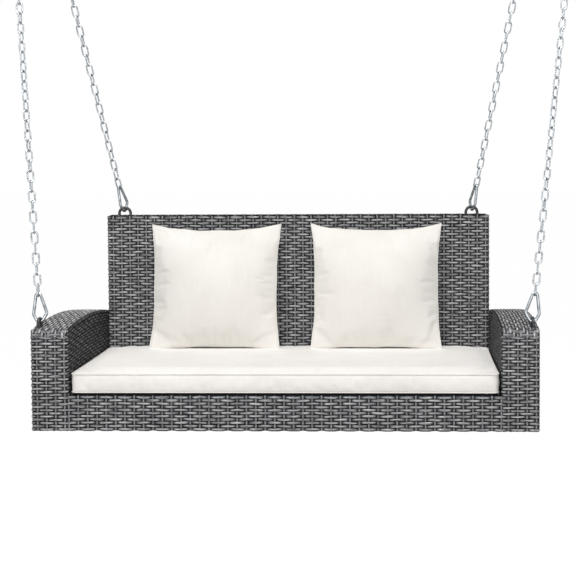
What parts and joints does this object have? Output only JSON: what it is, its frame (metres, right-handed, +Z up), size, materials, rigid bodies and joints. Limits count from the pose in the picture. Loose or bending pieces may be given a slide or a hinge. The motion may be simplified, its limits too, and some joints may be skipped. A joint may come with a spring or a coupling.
{
  "type": "porch swing seat",
  "caption": "Hanging porch swing: a woven resin seat with arms and backrest on welded tube frames, cushioned, on chains with snap hooks from ceiling hangers.",
  "frame": {"origin": "on the ceiling or beam, midway between the four hangers, whose plates lie against it", "axes": "+X along the seat to its right as seen by a sitter's visitor, +Y from the front to the back, +Z up"},
  "size_m": [1.524, 0.5264, 1.2655],
  "materials": {
    "hanger_steel": "satin black powder coat",
    "hook_steel": "zinc plated, dull",
    "chain_steel": "zinc plated, dull",
    "loop_steel": "satin black powder coat",
    "frame_steel": "black powder coat",
    "fastener_steel": "zinc plated",
    "resin_wicker": "mottled grey woven resin strand",
    "cushion_fabric": "off-white woven polyester",
    "cushion_foam": "open-cell foam",
    "pillow_fill": "polyester fibre"
  },
  "bodies": {
    "hangers": {"hanger_front_left": "hanger_steel", "hanger_front_right": "hanger_steel", "hanger_rear_left": "hanger_steel", "hanger_rear_right": "hanger_steel"},
    "swing": {"upper_hook_front_left": "hook_steel", "upper_hook_front_right": "hook_steel", "upper_hook_rear_left": "hook_steel", "upper_hook_rear_right": "hook_steel", "chain_front_left": "chain_steel", "chain_front_right": "chain_steel", "chain_rear_left": "chain_steel", "chain_rear_right": "chain_steel", "lower_hook_front_left": "hook_steel", "lower_hook_front_right": "hook_steel", "lower_hook_rear_left": "hook_steel", "lower_hook_rear_right": "hook_steel", "gate_pins": "hook_steel", "arm_loop_left": "loop_steel", "arm_loop_right": "loop_steel", "back_loop_left": "loop_steel", "back_loop_right": "loop_steel", "arm_frame_left": "frame_steel", "arm_frame_right": "frame_steel", "back_frame": "frame_steel", "seat_frame": "frame_steel", "arm_wicker_left": "resin_wicker", "arm_wicker_right": "resin_wicker", "back_wicker": "resin_wicker", "seat_deck_wicker": "resin_wicker", "front_apron_wicker": "resin_wicker", "joining_plates": "frame_steel", "seat_to_arm_bolts": "fastener_steel", "seat_to_back_bolts": "fastener_steel", "joining_plate_bolts": "fastener_steel", "bolt_washers": "fastener_steel", "threaded_inserts": "fastener_steel"},
    "seat_cushion": {"seat_cushion_cover": "cushion_fabric", "seat_cushion_foam": "cushion_foam"},
    "left_pillow": {"pillow_cover_left": "cushion_fabric", "pillow_insert_left": "pillow_fill"},
    "right_pillow": {"pillow_cover_right": "cushion_fabric", "pillow_insert_right": "pillow_fill"},
    "upper_gate_front_left": {"upper_gate_front_left": "hook_steel"},
    "upper_gate_front_right": {"upper_gate_front_right": "hook_steel"},
    "upper_gate_rear_left": {"upper_gate_rear_left": "hook_steel"},
    "upper_gate_rear_right": {"upper_gate_rear_right": "hook_steel"},
    "lower_gate_front_left": {"lower_gate_front_left": "hook_steel"},
    "lower_gate_front_right": {"lower_gate_front_right": "hook_steel"},
    "lower_gate_rear_left": {"lower_gate_rear_left": "hook_steel"},
    "lower_gate_rear_right": {"lower_gate_rear_right": "hook_steel"}
  },
  "joints": [
    {"name": "swing_hinge", "type": "hinge", "parent": "hangers", "child": "swing", "pos_m": [0, 0, -0.019], "axis": [1, 0, 0], "range_deg": [-25, 25]},
    {"name": "lower_gate_front_left_hinge", "type": "hinge", "parent": "swing", "child": "lower_gate_front_left", "pos_m": [-0.61935, -0.26308, -0.93479], "axis": [0.0172, 0.9609, -0.2762], "range_deg": [0, 30], "stiffness_Nm_per_rad": 0.05, "springref_deg": -17.19},
    {"name": "lower_gate_front_right_hinge", "type": "hinge", "parent": "swing", "child": "lower_gate_front_right", "pos_m": [0.61935, -0.26308, -0.93479], "axis": [0.0172, -0.9609, 0.2762], "range_deg": [0, 30], "stiffness_Nm_per_rad": 0.05, "springref_deg": -17.19},
    {"name": "upper_gate_front_left_hinge", "type": "hinge", "parent": "swing", "child": "upper_gate_front_left", "pos_m": [-0.72784, -0.0168, -0.08479], "axis": [-0.0172, -0.9609, 0.2762], "range_deg": [0, 30], "stiffness_Nm_per_rad": 0.05, "springref_deg": -17.19},
    {"name": "upper_gate_front_right_hinge", "type": "hinge", "parent": "swing", "child": "upper_gate_front_right", "pos_m": [0.72784, -0.0168, -0.08479], "axis": [-0.0172, 0.9609, -0.2762], "range_deg": [0, 30], "stiffness_Nm_per_rad": 0.05, "springref_deg": -17.19},
    {"name": "lower_gate_rear_left_hinge", "type": "hinge", "parent": "swing", "child": "lower_gate_rear_left", "pos_m": [-0.49891, 0.16791, -0.67289], "axis": [-0.9075, 0.4147, -0.066], "range_deg": [0, 30], "stiffness_Nm_per_rad": 0.05, "springref_deg": -17.19},
    {"name": "lower_gate_rear_right_hinge", "type": "hinge", "parent": "swing", "child": "lower_gate_rear_right", "pos_m": [0.49891, 0.16791, -0.67289], "axis": [-0.9075, -0.4147, 0.066], "range_deg": [0, 30], "stiffness_Nm_per_rad": 0.05, "springref_deg": -17.19},
    {"name": "upper_gate_rear_left_hinge", "type": "hinge", "parent": "swing", "child": "upper_gate_rear_left", "pos_m": [-0.60396, 0.01438, -0.08445], "axis": [0.0216, -0.9712, -0.2373], "range_deg": [0, 30], "stiffness_Nm_per_rad": 0.05, "springref_deg": -17.19},
    {"name": "upper_gate_rear_right_hinge", "type": "hinge", "parent": "swing", "child": "upper_gate_rear_right", "pos_m": [0.60396, 0.01438, -0.08445], "axis": [0.0216, 0.9712, 0.2373], "range_deg": [0, 30], "stiffness_Nm_per_rad": 0.05, "springref_deg": -17.19},
    {"name": "seat_cushion_lift", "type": "slide", "parent": "swing", "child": "seat_cushion", "axis": [0, 0, 1], "range_m": [0, 0.15]},
    {"name": "left_pillow_lift", "type": "slide", "parent": "seat_cushion", "child": "left_pillow", "axis": [0, 0, 1], "range_m": [0, 0.25]},
    {"name": "right_pillow_lift", "type": "slide", "parent": "seat_cushion", "child": "right_pillow", "axis": [0, 0, 1], "range_m": [0, 0.25]}
  ]
}
